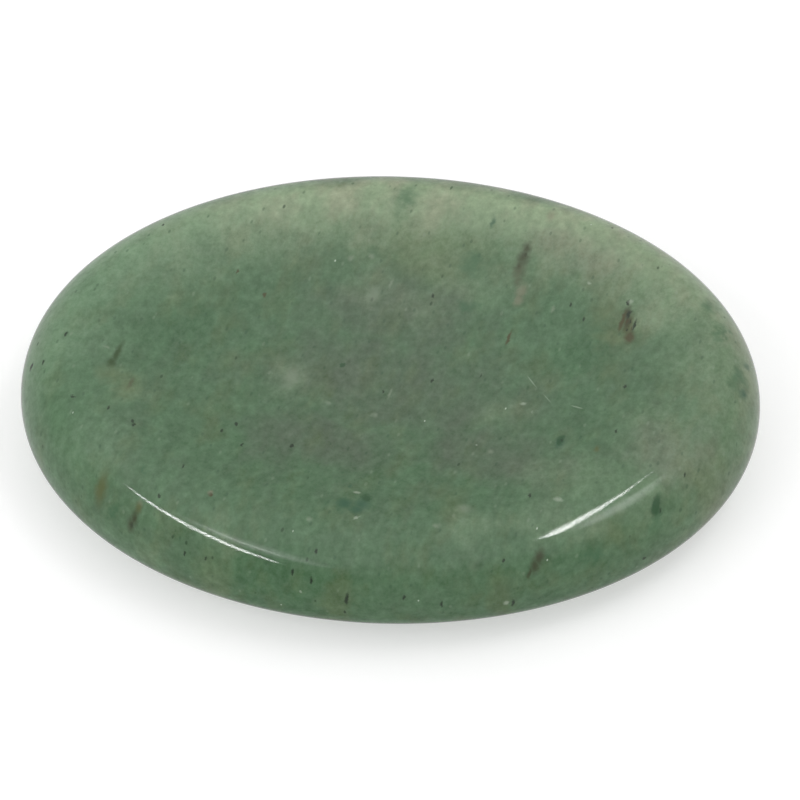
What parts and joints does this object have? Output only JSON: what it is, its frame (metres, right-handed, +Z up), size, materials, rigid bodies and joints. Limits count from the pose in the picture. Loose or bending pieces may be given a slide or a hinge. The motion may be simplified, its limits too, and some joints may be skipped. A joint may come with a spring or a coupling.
{
  "type": "worry stone",
  "caption": "Flat oval palm stone of polished green aventurine, with a rounded side, a shallow thumb dish in its top and a low domed underside with a small flat resting spot.",
  "frame": {"origin": "middle of the flat spot on the underside that the stone rests on", "axes": "+Z up through the thumb dish, X along the stone's length, Y along its width"},
  "size_m": [0.045, 0.035, 0.007],
  "materials": {
    "polished_aventurine": "tumbled and buffed to a wet-looking polish, slightly translucent"
  },
  "bodies": {
    "root": {"worry_stone": "polished_aventurine"}
  },
  "joints": []
}
